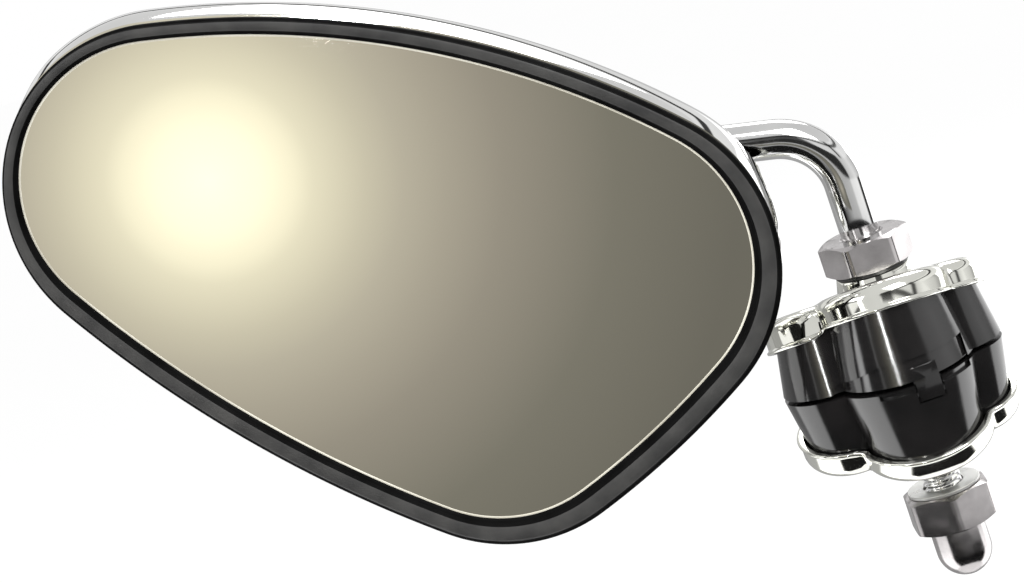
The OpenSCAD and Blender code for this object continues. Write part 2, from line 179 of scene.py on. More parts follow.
def arithmetic(tree, operation, a, b):
    node = tree.nodes.new("ShaderNodeMath")
    node.operation = operation
    return feed(tree, node, {0: a, 1: b}).outputs[0]


def ramp(tree, factor, stops):
    """Colour ramp over (place, colour) stops, a plain number standing for a grey."""
    node = new_node(tree, "ShaderNodeValToRGB", {"Fac": factor})
    elements = node.color_ramp.elements
    elements.remove(elements[1])
    for i, (place, colour) in enumerate(stops):
        element = elements.new(place) if i else elements[0]
        element.position = place
        element.color = (colour, colour, colour, 1) if isinstance(colour, (int, float)) else (*colour, 1)
    return node.outputs["Color"]


def principled(name, metallic=0.0, roughness=0.5, specular=0.5):
    mat = bpy.data.materials.new(name)
    mat.use_nodes = True
    feed(mat.node_tree, mat.node_tree.nodes["Principled BSDF"], {
        "Metallic": metallic, "Roughness": roughness, "Specular IOR Level": specular,
    })
    return mat


def add_noise(tree, scale, low, high, detail=OBJECT_NOISE_DETAIL):
    """Noise in object coordinates, mapped to low..high. Returns its output socket."""
    coords = tree.nodes.new("ShaderNodeTexCoord")
    noise = new_node(tree, "ShaderNodeTexNoise", {
        "Vector": coords.outputs["Object"], "Scale": scale, "Detail": detail,
    })
    spread = new_node(tree, "ShaderNodeMapRange", {
        "Value": noise.outputs["Fac"], "From Min": NOISE_SPAN[0], "From Max": NOISE_SPAN[1],
        "To Min": low, "To Max": high,
    })
    return spread.outputs["Result"]


def vary_roughness(mat, scale, low, high):
    tree = mat.node_tree
    feed(tree, tree.nodes["Principled BSDF"], {"Roughness": add_noise(tree, scale, low, high)})


def vary_colour(mat, scale, dark, light):
    tree = mat.node_tree
    colour = ramp(tree, add_noise(tree, scale, 0, 1), ((0, dark), (1, light)))
    feed(tree, tree.nodes["Principled BSDF"], {"Base Color": colour})


def add_bump(mat, scale, distance, strength=0.4):
    tree = mat.node_tree
    height = add_noise(tree, scale, 0, 1, BUMP_DETAIL)
    inputs = {"Strength": strength, "Distance": distance, "Height": height}
    normal = new_node(tree, "ShaderNodeBump", inputs).outputs["Normal"]
    feed(tree, tree.nodes["Principled BSDF"], {"Normal": normal})


def metal(name, dark, light, scale, rough_low, rough_high):
    mat = principled(name, metallic=1.0, roughness=rough_low)
    vary_colour(mat, scale, dark, light)
    vary_roughness(mat, scale * 1.7, rough_low, rough_high)
    return mat


CHROME = metal("chrome", (0.76, 0.76, 0.75), (0.84, 0.84, 0.83), 60, 0.03, 0.07)
ROD_CHROME = metal("rod_chrome", (0.70, 0.70, 0.70), (0.82, 0.82, 0.81), 90, 0.06, 0.12)
CAP_CHROME = metal("cap_chrome", (0.74, 0.74, 0.68), (0.86, 0.86, 0.80), 70, 0.05, 0.11)
ZINC = metal("zinc_plate", (0.55, 0.55, 0.53), (0.68, 0.68, 0.66), 120, 0.25, 0.4)
# near-black steel for the upper washer: painted shade of the dark gap under the stem nut
WASHER_PAINTED_SHADE = metal("washer_painted_shade", (0.05, 0.05, 0.05), (0.10, 0.10, 0.10), 120, 0.35, 0.5)
NUT_STEEL = metal("nut_steel", (0.44, 0.42, 0.42), (0.60, 0.575, 0.575), 160, 0.13, 0.24)
CAST = metal("cast_housing", (0.42, 0.42, 0.43), (0.52, 0.52, 0.53), 200, 0.45, 0.6)
SILVER = metal("silvered_glass", (0.80, 0.785, 0.74), (0.82, 0.80, 0.755), 8, 0.012, 0.02)

RUBBER = principled("black_rubber", specular=0.4)
vary_colour(RUBBER, 150, (0.022, 0.022, 0.022), (0.048, 0.047, 0.045))
vary_roughness(RUBBER, 220, 0.42, 0.62)
add_bump(RUBBER, 900, 0.00006)
# near-black copy of the rubber: painted shade for the recessed edges of the surround
RUBBER_PAINTED_SHADE = principled("rubber_painted_shade", specular=0.06)
vary_colour(RUBBER_PAINTED_SHADE, 150, (0.001, 0.001, 0.001), (0.004, 0.004, 0.004))
vary_roughness(RUBBER_PAINTED_SHADE, 220, 0.5, 0.7)

JAW_PLASTIC = principled("jaw_plastic", specular=0.9)
vary_colour(JAW_PLASTIC, 90, (0.007, 0.007, 0.007), (0.014, 0.013, 0.013))
vary_roughness(JAW_PLASTIC, 120, 0.09, 0.16)
add_bump(JAW_PLASTIC, 160, 0.00003)

FOAM = principled("foam_pad", roughness=0.9)
vary_colour(FOAM, 400, (0.07, 0.07, 0.07), (0.13, 0.13, 0.13))
NYLON = principled("nylon_seat", roughness=0.4)
vary_colour(NYLON, 120, (0.72, 0.70, 0.62), (0.80, 0.78, 0.71))
# pale warm colour of the glass's cut edge: a painted highlight standing in for the bevel's reflection
GLASS_EDGE_HIGHLIGHT = principled("glass_edge_highlight", roughness=0.35)
vary_colour(GLASS_EDGE_HIGHLIGHT, 60, (0.52, 0.49, 0.40), (0.80, 0.77, 0.66))


# Head outline: three corner arcs joined by three long arcs, in millimetres across and up

LEFT_CORNER = (np.array((-124.5, 84.0)), 32.9)
RIGHT_CORNER = (np.array((-48.5, 40.6)), 33.8)
LOW_CORNER = (np.array((-75.9, 25.4)), 32.0)
UPPER_SIDE_R = 180.0
NEAR_SIDE_R = 177.0
LOWER_SIDE_R = 250.0
# width of the surround, its offset from the outline, and that of its opening from itself
RUBBER_W = 4.35
RUBBER_SHIFT = np.array((-0.25, -0.75))
OPENING_SHIFT = np.array((-0.65, 1.35))


def side_centre(a, ra, b, rb, big):
    """Middle of the arc of radius big that wraps two corner arcs."""
    span = np.linalg.norm(b - a)
    da, db = big - ra, big - rb
    e = (b - a) / span
    x = (span ** 2 + da ** 2 - db ** 2) / (2 * span)
    return a + e * x + np.array((e[1], -e[0])) * math.sqrt(da ** 2 - x ** 2)


def head_arcs():
    """(centre, radius, from angle, turn) of the six arcs, clockwise."""
    corners = (LEFT_CORNER, RIGHT_CORNER, LOW_CORNER)
    sides = (UPPER_SIDE_R, NEAR_SIDE_R, LOWER_SIDE_R)
    centres = []
    for i, big in enumerate(sides):
        (a, ra), (b, rb) = corners[i], corners[(i + 1) % 3]
        centres.append(side_centre(a, ra, b, rb, big))
    arcs = []
    for i, big in enumerate(sides):
        (a, _), (b, rb) = corners[i], corners[(i + 1) % 3]
        start = np.arctan2(*(a - centres[i])[::-1])
        end = np.arctan2(*(b - centres[i])[::-1])
        after = np.arctan2(*(b - centres[(i + 1) % 3])[::-1])
        arcs.append((centres[i], big, start, (start - end) % (2 * math.pi)))
        arcs.append((b, rb, end, (end - after) % (2 * math.pi)))
    return arcs


HEAD_ARCS = head_arcs()
OUTLINE_STEPS = 300


def outline_samples():
    """Evenly spaced (centre, radius, angle) round the outline."""
    lengths = np.array([radius * turn for _, radius, _, turn in HEAD_ARCS])
    total = lengths.sum()
    samples = []
    for i in range(OUTLINE_STEPS):
        along = total * i / OUTLINE_STEPS
        which = 0
        while along > lengths[which]:
            along -= lengths[which]
            which += 1
        centre, radius, start, _ = HEAD_ARCS[which]
        samples.append((centre, radius, start - along / radius))
    return samples


OUTLINE = outline_samples()


def outline(inset, y, shift=(0, 0)):
    """Ring of points in metres, drawn in by inset millimetres, at the level y."""
    ring = []
    for centre, radius, angle in OUTLINE:
        x = centre[0] + (radius - inset) * math.cos(angle) + shift[0]
        z = centre[1] + (radius - inset) * math.sin(angle) + shift[1]
        ring.append((x * MM, y, z * MM))
    return ring


# Head: shell, rubber surround, glass

# shell in millimetres: its rim, its wall, how far its back is drawn in, and its bulge
# along the upper side
SHELL_RIM_INSET = 0.35
SHELL_T = 0.8
DISH_INSET = 24.0
DISH_POWER = 2.2
DISH_RINGS = 26
SWELL = 2.1
SWELL_SHAPE = 0.8
# share of the depth where the bulge ends, and the way it faces
SWELL_END = 0.6
SWELL_DIR = (0.5, 0.87)
# conical hole for the stem, between two distances from the middle of the ball
STEM_HOLE_R = 6.8 * MM
STEM_HOLE_FROM = 10 * MM
STEM_HOLE_TO = 40 * MM
STEM_SWING = math.radians(14)


def soft_step(low, high, value):
    t = min(1, max(0, (value - low) / (high - low)))
    return t * t * (3 - 2 * t)


def dish_at(s):
    return DISH_INSET * (1 - (1 - s ** DISH_POWER) ** (1 / DISH_POWER))


def swell(ring, s):
    """Ring of the shell, swollen outwards behind the rubber along the upper side."""
    if s > SWELL_END:
        return ring
    reach = SWELL * math.sin(math.pi * s / SWELL_END) ** SWELL_SHAPE
    swollen = []
    for (x, y, z), (_, _, angle) in zip(ring, OUTLINE):
        facing = math.cos(angle) * SWELL_DIR[0] + math.sin(angle) * SWELL_DIR[1]
        out = reach * soft_step(-0.1, 0.6, facing) * MM
        swollen.append((x + out * math.cos(angle), y, z + out * math.sin(angle)))
    return swollen


def dish_rings(thin):
    """Rings of the dished shell from its rim to its back, thin millimetres in from the outside."""
    rings = []
    depth = BACK_Y - RIM_Y - thin * MM
    for i in range(DISH_RINGS + 1):
        s = math.sin(math.pi / 2 * i / DISH_RINGS)
        rings.append(swell(outline(SHELL_RIM_INSET + thin + dish_at(s), RIM_Y + depth * s), s))
    return rings


def make_shell():
    outer = dish_rings(0)
    inner = dish_rings(SHELL_T)
    # closed skin: outside back to front, rolled rim, inside front to back
    verts, faces = loft(outer[::-1] + inner, cap_ends=True)
    shell = new_object("head_shell_chrome", verts, faces, CHROME, 50)
    cut(shell, stem_hole_cutter(), *screw_hole_cutters())
    tidy_normals(shell, 35)
    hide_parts("head_shell")
    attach(shell, "head")


BALL = Vector((
    (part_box("seat_rear")[0][0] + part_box("seat_rear")[1][0]) / 2,
    STEM_Y,
    (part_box("seat_rear")[0][2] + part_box("seat_rear")[1][2]) / 2,
))
BEND_ANGLE = math.radians(78)
ARM_DIR = Vector((math.sin(BEND_ANGLE), 0, -math.cos(BEND_ANGLE)))


def rod_between(a, b, radii, steps=48):
    """Plain closed cone from a to b with a radius at each end, as a cutter."""
    along = (b - a).normalized()
    side = along.orthogonal().normalized()
    other = along.cross(side)
    rings = []
    for end, radius in zip((a, b), radii):
        ring = []
        for j in range(steps):
            t = 2 * math.pi * j / steps
            ring.append(end + side * (radius * math.cos(t)) + other * (radius * math.sin(t)))
        rings.append(ring)
    verts, faces = loft(rings)
    return new_object("cutter", verts, faces, CHROME)


def stem_hole_cutter():
    wide = STEM_HOLE_R + (STEM_HOLE_TO - STEM_HOLE_FROM) * math.tan(STEM_SWING)
    ends = BALL + ARM_DIR * STEM_HOLE_FROM, BALL + ARM_DIR * STEM_HOLE_TO
    return rod_between(*ends, (STEM_HOLE_R, wide), 64)


def screw_places():
    """The two clamping screws, found from the bars of the CAD node."""
    co = np.array([v.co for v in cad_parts["plate_screws"].data.vertices])
    left = co[co[:, 0] < (co[:, 0].min() + co[:, 0].max()) / 2]
    right = co[co[:, 0] >= (co[:, 0].min() + co[:, 0].max()) / 2]
    places = []
    for part in (left, right):
        low, high = part.min(0), part.max(0)
        places.append(((low[0] + high[0]) / 2, (low[2] + high[2]) / 2))
    return places


SCREW_HOLE_R = 4.2 * MM
SCREW_HOLE_DEPTH = 6 * MM


def screw_hole_cutters():
    cutters = []
    for x, z in screw_places():
        low = Vector((x, BACK_Y - SCREW_HOLE_DEPTH, z))
        high = Vector((x, BACK_Y + 2 * MM, z))
        cutters.append(rod_between(low, high, (SCREW_HOLE_R,) * 2))
    return cutters


# share of the surround's width from the outside, and depth in millimetres behind its front
RUBBER_SECTION = (
    (0.00, 3.4), (0.00, 1.5), (0.02, 1.15), (0.07, 0.98), (0.13, 0.92), (0.165, 0.55),
    (0.20, 0.18), (0.27, 0.04), (0.40, 0.0), (0.52, 0.02), (0.64, 0.10), (0.74, 0.24),
    (0.79, 0.45), (0.82, 0.85), (0.86, 0.98), (0.93, 1.02), (0.98, 1.2),
    (1.00, 1.4), (1.00, 1.66), (1.06, 1.70), (1.06, 3.4),
)
RUBBER_BAND_DEPTH = 0.3


def make_rubber():
    """Surround: raised band between two low edges, swept round between outline and opening; the low
    edges get a near-black copy of the rubber as painted shade.
    """
    rings = []
    for share, depth in RUBBER_SECTION:
        shift = RUBBER_SHIFT + OPENING_SHIFT * min(share, 1)
        rings.append(outline(RUBBER_W * share, FRONT_Y + depth * MM, shift))
    verts, faces = loft(rings, closed=True)
    rubber = new_object("bezel_rubber_lips", verts, faces, RUBBER, 70)
    # faces set back deeper than the band get the near-black rubber as painted shade
    rubber.data.materials.append(RUBBER_PAINTED_SHADE)
    for face in rubber.data.polygons:
        if face.center.y - FRONT_Y > RUBBER_BAND_DEPTH * MM:
            face.material_index = 1
    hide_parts("bezel_rubber")
    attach(rubber, "head")


# in millimetres: how far the glass goes in behind the surround, and the bevel of its front
GLASS_COVER = 1.55
GLASS_BEVEL = 0.3
# section of the line along the inner lip: inset past the lip, and height above the glass
EDGE_LINE = ((-0.3, 0.02), (-0.3, 0.10), (0.28, 0.10), (0.40, 0.02))


def make_glass():
    low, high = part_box("mirror_glass")
    shift = RUBBER_SHIFT + OPENING_SHIFT
    inset = RUBBER_W - GLASS_COVER
    rings = [
        outline(inset, high[1], shift),
        outline(inset, low[1] + GLASS_BEVEL * MM, shift),
        outline(inset + GLASS_BEVEL, low[1], shift),
    ]
    verts, faces = loft(rings)
    glass = new_object("mirror_glass_silvered", verts, faces, SILVER, 30)
    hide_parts("mirror_glass")
    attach(glass, "head")


def make_glass_edge():
    """Pale line along the inner lip: the glass's cut edge, coloured pale and warm as a painted highlight
    of its bevel.
    """
    low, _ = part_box("mirror_glass")
    shift = RUBBER_SHIFT + OPENING_SHIFT
    rings = [outline(RUBBER_W + inset, low[1] - height * MM, shift) for inset, height in EDGE_LINE]
    verts, faces = loft(rings, closed=True)
    edge = new_object("glass_edge_line", verts, faces, GLASS_EDGE_HIGHLIGHT, 30)
    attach(edge, "head")


make_shell()
make_rubber()
make_glass()
make_glass_edge()


# Stem with its ball and thread

STEM_R = 4.0 * MM
BEND_R = 13.5 * MM
BEND_Z = 38.5 * MM
NECK_R = 3.0 * MM
NECK_L = 10 * MM
BALL_R = 6.0 * MM
PITCH = 1.25 * MM
THREAD_DEPTH = 0.62 * MM
THREAD_FLANK = 1.25
THREAD_TOP = 24 * MM
THREAD_RINGS = 8
BEND_STEPS = 24
BALL_STEPS = 16
ROD_STEPS = 48


def rod_ring(centre, right, forward, radius):
    ring = []
    for j in range(ROD_STEPS):
        t = 2 * math.pi * j / ROD_STEPS
        r = radius(t) if callable(radius) else radius
        ring.append(centre + right * (r * math.cos(t)) + forward * (r * math.sin(t)))
    return ring


def thread_radius(z):
    """Radius of the threaded rod round its axis at the height z."""
    def radius(t):
        groove = abs((z / PITCH - t / (2 * math.pi)) % 1 * 2 - 1)
        return STEM_R - THREAD_DEPTH * min(1, groove * THREAD_FLANK)
    return radius


def make_stem():
    x_axis, y_axis = Vector((1, 0, 0)), Vector((0, 1, 0))
    foot = Vector((0, STEM_Y, 0))
    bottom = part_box("stem")[0][2]
    steps = int((THREAD_TOP - bottom) / PITCH * THREAD_RINGS)
    levels = []
    for i in range(steps + 1):
        z = bottom + (THREAD_TOP - bottom) * i / steps
        levels.append((z, thread_radius(z)))
    # run-out of the thread
    levels.append((THREAD_TOP + 0.6 * MM, STEM_R - 0.1 * MM))
    levels.append((THREAD_TOP + 0.8 * MM, STEM_R))
    rings = [rod_ring(foot + Vector((0, 0, z)), x_axis, y_axis, radius) for z, radius in levels]
    centre = foot + Vector((-BEND_R, 0, BEND_Z))
    for i in range(BEND_STEPS + 1):
        t = BEND_ANGLE * i / BEND_STEPS
        out = Vector((math.cos(t), 0, math.sin(t)))
        rings.append(rod_ring(centre + out * BEND_R, out, y_axis, STEM_R))
    up = Vector((math.cos(BEND_ANGLE), 0, math.sin(BEND_ANGLE)))
    # arm, neck and ball: distance out from the middle of the ball, and radius
    neck_end = math.sqrt(BALL_R ** 2 - NECK_R ** 2)
    arm = [(NECK_L, STEM_R), (NECK_L - 0.4 * MM, NECK_R), (neck_end, NECK_R)]
    start = math.asin(NECK_R / BALL_R)
    for i in range(1, BALL_STEPS + 1):
        t = start + (math.pi - start) * i / BALL_STEPS
        arm.append((BALL_R * math.cos(t), max(BALL_R * math.sin(t), 1e-5)))
    for out, radius in arm:
        rings.append(rod_ring(BALL + ARM_DIR * out, up, y_axis, radius))
    verts, faces = loft(rings)
    stem = new_object("stem_rod", verts, faces, ROD_CHROME, 60)
    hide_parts("stem")
    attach(stem, "stem")


make_stem()


# Nuts and washers

NUT_AF = 16.5 * MM
NUT_STEPS = 144
# rounding of the hexagon's corners, chamfer along its two ends, and how it falls at the corners
CORNER_SOFT = 0.25 * MM
NUT_CHAMFER = 0.3 * MM
CORNER_FALL = 0.5
BORE_CHAMFER = 0.5 * MM
BORE_R = STEM_R + 0.05 * MM
STEM_NUT_TURN = math.radians(4)
CAP_NUT_TURN = math.radians(-24)
CAP_NUT_HEX_H = 7.8 * MM
CAP_NUT_FLOOR = 4.0 * MM
DOME_R = 5.7 * MM
DOME_STEPS = 13
WASHER_STEPS = 96
WASHER_EDGE = 0.12 * MM


def level_ring(radius, z, steps=NUT_STEPS):
    """Level ring round the stem axis; radius and z are numbers, or one is per point."""
    radii = radius if isinstance(radius, list) else [radius] * steps
    heights = z if isinstance(z, list) else [z] * steps
    ring = []
    for j in range(steps):
        t = 2 * math.pi * j / steps
        ring.append((radii[j] * math.cos(t), STEM_Y + radii[j] * math.sin(t), heights[j]))
    return ring


def hex_rings(low, high, turned):
    """Rings of a chamfered hexagon nut, from its bore at the bottom round to its bore at the top."""
    flat = NUT_AF / 2
    radii = []
    for j in range(NUT_STEPS):
        local = (2 * math.pi * j / NUT_STEPS - turned) % (math.pi / 3) - math.pi / 6
        radii.append(min(flat / math.cos(local), flat / math.cos(math.pi / 6) - CORNER_SOFT))
    falls = [(r - flat) * CORNER_FALL for r in radii]

    def hexagon(level, side, inset):
        return level_ring(radii, [level - side * (fall + inset) for fall in falls])

    return [
        level_ring(BORE_R, low + BORE_CHAMFER),
        level_ring(BORE_R + BORE_CHAMFER, low),
        level_ring(flat - NUT_CHAMFER, low),
        hexagon(low, -1, 0.12 * MM),
        hexagon(low, -1, NUT_CHAMFER),
        hexagon(high, 1, NUT_CHAMFER),
        hexagon(high, 1, 0.12 * MM),
        level_ring(flat - NUT_CHAMFER, high),
        level_ring(BORE_R + BORE_CHAMFER, high),
        level_ring(BORE_R, high - BORE_CHAMFER),
    ]


def make_stem_nut():
    low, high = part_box("stem_nut")
    verts, faces = loft(hex_rings(low[2], high[2], STEM_NUT_TURN), closed=True)
    nut = new_object("stem_nut_hex", verts, faces, NUT_STEEL, 22)
    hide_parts("stem_nut")
    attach(nut, "stem")


def make_cap_nut():
    low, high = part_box("cap_nut")
    neck_z = high[2] - CAP_NUT_HEX_H
    dome = []
    for i in range(DOME_STEPS + 1):
        t = math.pi / 2 * i / DOME_STEPS
        dome.append(level_ring(max(DOME_R * math.sin(t), 1e-5), low[2] + DOME_R - DOME_R * math.cos(t)))
    dome.append(level_ring(DOME_R, neck_z - 0.5 * MM))
    dome.append(level_ring(DOME_R + 0.25 * MM, neck_z - 0.02 * MM))
    # the dome takes the place of the hexagon's lower bore
    hexagon = hex_rings(neck_z, high[2], CAP_NUT_TURN)[2:]
    floor_z = low[2] + CAP_NUT_FLOOR
    bore = [level_ring(BORE_R, floor_z + 0.3 * MM), level_ring(1e-5, floor_z)]
    verts, faces = loft(dome + hexagon + bore, cap_ends=False)
    nut = new_object("cap_nut_dome", verts, faces, NUT_STEEL, 22)
    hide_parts("cap_nut")
    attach(nut, "cap_nut")


def make_washer(node, body, material):
    low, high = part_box(node)
    r = (high[0] - low[0]) / 2
    hole_r = BORE_R + 0.2 * MM
    section = (
        (hole_r, low[2]), (r - WASHER_EDGE, low[2]), (r, low[2] + WASHER_EDGE),
        (r, high[2] - WASHER_EDGE), (r - WASHER_EDGE, high[2]), (hole_r, high[2]),
    )
    verts, faces = loft([level_ring(radius, z, WASHER_STEPS) for radius, z in section], closed=True)
    washer = new_object(node + "_disc", verts, faces, material, 40)
    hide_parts(node)
    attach(washer, body)


make_stem_nut()
make_cap_nut()
# the upper washer is near-black as painted shade under the nut
make_washer("washer_upper", "clamp", WASHER_PAINTED_SHADE)
make_washer("washer_lower", "loose_washer", ZINC)


# Clamp: lobes of the jaws as (across, behind the stem, radius at the split, drop of the rim),
# in millimetres from the stem axis and the split

LOBES = ((-14.5, 0.0, 10.7, 1.2), (0.0, -4.9, 14.4, 0.0), (11.6, 0.0, 9.0, 0.0), (0.0, 4.5, 12.0, 0.0))
RIM_Z = 10.8
LEAN = math.radians(16)
WALL_DRAFT = 0.17
SEAM_BAND = 0.7
CAP_H = 6.0
CAP_ROUND = 3.0
CAP_T = 0.9
CAP_PLAY = 0.2
CAP_LIP = 0.5
CAP_CENTRE_Y = -CAP_H * math.tan(LEAN)
CAP_HOLE_R = 4.5
SEAT_Z = 20.4
SEAT_R = 7.5
SEAT_FLARE = 0.25
# rings of a cap: shares of the way down the boss and across the top,
# and the rolled lip as (share of its width, height above the rim)
BOSS_SHARES = (0.12, 0.5, 0.85)
TOP_SHARES = (
    0.06, 0.12, 0.2, 0.3, 0.4, 0.5, 0.58, 0.65, 0.71,
    0.77, 0.82, 0.865, 0.9, 0.93, 0.955, 0.975, 0.99, 1.0,
)
LIP_SECTION = ((0, 1.1), (0.12, 0.85), (0.75, 0.68), (1, 0.4), (0.75, 0.1), (0.12, 0.0))
ROUND_STEPS = 240
# how softly the pans run into each other
BLEND = 0.2


def pans():
    """The lobes of a cap as (across, along, radius, drop) in its leaning plane."""
    found = []
    for x, y, r, drop in LOBES:
        at_rim = r - WALL_DRAFT * (RIM_Z - drop / math.cos(LEAN) - math.tan(LEAN) * y) + CAP_PLAY
        along = (y + WALL_DRAFT * math.tan(LEAN) * r) / math.cos(LEAN) + drop * math.tan(LEAN)
        found.append((x, along, at_rim / math.cos(LEAN) + CAP_T, drop))
    return found


PANS = pans()


def stood(x, y, z, side):
    """Point of the leaning plane as a place in the frame, in metres."""
    back = y * math.cos(LEAN) + z * math.sin(LEAN)
    up = RIM_Z - y * math.sin(LEAN) + z * math.cos(LEAN)
    return (x * MM, STEM_Y + back * MM, side * up * MM)


def smooth_top(values, soft):
    peak = max(values)
    return peak + soft * math.log(sum(math.exp((v - peak) / soft) for v in values))


def pan_reaches(angle):
    """Distance from the middle of the cap to the wall of each pan, with the pan's drop."""
    dx, dy = math.cos(angle), math.sin(angle)
    found = []
    for x, y, r, drop in PANS:
        cy = y - CAP_CENTRE_Y
        along = dx * x + dy * cy
        inside = r * r - x * x - cy * cy + along * along
        if inside > 0 and along + math.sqrt(inside) > 0:
            found.append((along + math.sqrt(inside), drop))
    return found


def cap_level(x, y, thin):
    """Height of the pressed cap above its rim plane."""
    levels = []
    for cx, cy, r, drop in PANS:
        corner = CAP_ROUND - thin
        top = CAP_H - drop / 2 - thin
        past = max(0.0, math.hypot(x - cx, y - cy) - (r - thin - corner))
        if past >= corner:
            levels.append(top - corner - 4 * (past - corner))
        else:
            levels.append(top - corner + math.sqrt(corner ** 2 - past ** 2))
    return smooth_top(levels, BLEND)


def smoothed(values, times):
    count = len(values)
    for _ in range(times):
        values = [(values[i - 1] + 2 * values[i] + values[(i + 1) % count]) / 4 for i in range(count)]
    return values


def boss_point(angle, thin, share):
    """Point on the flared boss, share 0 at the seat and 1 where it meets the leaning top."""
    r, top = SEAT_R - thin, SEAT_Z - thin
    sin_lean, cos_lean = math.sin(LEAN), math.cos(LEAN)
    depth = (top - RIM_Z) * cos_lean + r * math.sin(angle) * sin_lean - (CAP_H - thin)
    depth = share * depth / (cos_lean - SEAT_FLARE * math.sin(angle) * sin_lean)
    reach = r + SEAT_FLARE * depth
    return reach * math.cos(angle), reach * math.sin(angle), top - depth


def make_cap(node, body, side):
    """Pressed cap; side is 1 for the upper one and -1 for the lower one."""
    angles = [2 * math.pi * j / ROUND_STEPS for j in range(ROUND_STEPS)]
    reaches = smoothed([smooth_top([r for r, _ in pan_reaches(a)], BLEND) for a in angles], 2)
    drops = smoothed([max(pan_reaches(a))[1] for a in angles], 6)

    def flat(r, z):
        return [(r * math.cos(a) * MM, STEM_Y + r * math.sin(a) * MM, side * z * MM) for a in angles]

    def boss(thin, share):
        points = [boss_point(a, thin, share) for a in angles]
        return [(x * MM, STEM_Y + y * MM, side * z * MM) for x, y, z in points]

    def top_ring(thin, share):
        ring = []
        for a, reach in zip(angles, reaches):
            bx, by, bz = boss_point(a, thin, 1)
            foot_y = by * math.cos(LEAN) - (bz - RIM_Z) * math.sin(LEAN)
            ex = (reach - thin) * math.cos(a)
            ey = (reach - thin) * math.sin(a) + CAP_CENTRE_Y
            x = bx + (ex - bx) * share
            y = foot_y + (ey - foot_y) * share
            ring.append(stood(x, y, cap_level(x, y, thin), side))
        return ring

    def wall_ring(out, above):
        ring = []
        for a, reach, drop in zip(angles, reaches, drops):
            x = (reach + out) * math.cos(a)
            y = (reach + out) * math.sin(a) + CAP_CENTRE_Y
            ring.append(stood(x, y, above - drop, side))
        return ring

    rings = [flat(CAP_HOLE_R, SEAT_Z), flat(SEAT_R - 0.5, SEAT_Z), flat(SEAT_R - 0.14, SEAT_Z - 0.08)]
    rings += [boss(0, share) for share in BOSS_SHARES]
    rings += [top_ring(0, share) for share in TOP_SHARES]
    rings += [wall_ring(CAP_LIP * share, above) for share, above in LIP_SECTION]
    rings += [wall_ring(-CAP_T, 0.1)]
    rings += [top_ring(CAP_T, share) for share in TOP_SHARES[::-1]]
    rings += [boss(CAP_T, 0.5), boss(CAP_T, 0), flat(CAP_HOLE_R, SEAT_Z - CAP_T)]
    verts, faces = loft(rings, closed=True)
    cap = new_object(node + "_pressing", verts, faces, CAP_CHROME, 50)
    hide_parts(node)
    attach(cap, body)


# a face is on a lobe's wall within this distance of it, and this close to its slope
WALL_NEAR = 0.1
WALL_ALIKE = 0.992
# rounding of the jaws' edges
FLAT_ANGLE = math.radians(1.5)
EDGE_ANGLE = math.radians(28)
EDGE_ROUND = 0.22 * MM


def wall_of(centre, normal):
    """Middle of the lobe whose drafted wall a face lies on, or None."""
    across, behind, up = centre.x / MM, (centre.y - STEM_Y) / MM, abs(centre.z) / MM
    for x, y, r, _ in LOBES:
        dx, dy = across - x, behind - y
        reach = math.hypot(dx, dy)
        inside = r - WALL_DRAFT * up - reach
        slope = WALL_DRAFT * math.copysign(1, centre.z)
        level = Vector((dx / reach, dy / reach, slope)).normalized()
        if -WALL_NEAR < inside < SEAM_BAND + WALL_NEAR and level.dot(normal) > WALL_ALIKE:
            return x, y
    return None


def set_wall_normals(data):
    """Gives the drafted round walls the normals of true cones, free of the mesh's facets."""
    normals = [n.vector.copy() for n in data.corner_normals]
    for face in data.polygons:
        lobe = wall_of(face.center, face.normal)
        if lobe is None:
            continue
        for loop in face.loop_indices:
            co = data.vertices[data.loops[loop].vertex_index].co
            dx, dy = co.x / MM - lobe[0], (co.y - STEM_Y) / MM - lobe[1]
            slope = WALL_DRAFT * math.hypot(dx, dy) * math.copysign(1, face.center.z)
            normals[loop] = Vector((dx, dy, slope)).normalized()
    data.normals_split_custom_set(normals)


def make_jaw(node, body):
    """The moulding, from the CAD piece, with its edges rounded."""
    work = bmesh.new()
    work.from_mesh(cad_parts[node].data)
    bmesh.ops.remove_doubles(work, verts=work.verts, dist=2e-6)
    bmesh.ops.dissolve_limit(
        work, angle_limit=FLAT_ANGLE, verts=work.verts, edges=work.edges, use_dissolve_boundaries=False
    )
    sharp = [
        e for e in work.edges
        if len(e.link_faces) == 2 and e.calc_face_angle(0) > EDGE_ANGLE and e.is_convex
    ]
    bmesh.ops.bevel(
        work, geom=sharp, offset=EDGE_ROUND, offset_type="OFFSET", segments=2, profile=0.5,
        affect="EDGES", clamp_overlap=True, harden_normals=False
    )
    data = bpy.data.meshes.new(node + "_moulding")
    work.to_mesh(data)
    work.free()
    data.materials.append(JAW_PLASTIC)
    jaw = bpy.data.objects.new(node + "_moulding", data)
    bpy.context.scene.collection.objects.link(jaw)
    tidy_normals(jaw, 32)
    set_wall_normals(jaw.data)
    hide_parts(node)
    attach(jaw, body)


make_jaw("jaw_upper", "clamp")
make_jaw("jaw_lower", "lower_clamp")
make_cap("cap_upper", "clamp", 1)
make_cap("cap_lower", "lower_clamp", -1)


# Hidden pieces keep their CAD shape

PLAIN_NODES = {
    "backing_pad": FOAM,
    "ball_housing": CAST,
    "clamp_plate": ZINC,
    "plate_screws": ZINC,
    "plate_nuts": ZINC,
    "spring_washers": ZINC,
    "seat_rear": NYLON,
    "seat_front": NYLON,
}
for node_name, finish in PLAIN_NODES.items():
    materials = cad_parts[node_name].data.materials
    materials.clear()
    materials.append(finish)


# Floor, world and lamps

FLOOR_Z = -0.25
FLOOR_HALF = 6
# what the camera sees of the floor: its glow, and the share of it
FLOOR_GLOW = 1.04
FLOOR_GLOW_SHARE = 0.85
WORLD_LIGHT = 0.75
LAMP_TARGET = (-0.05, 0, 0.03)


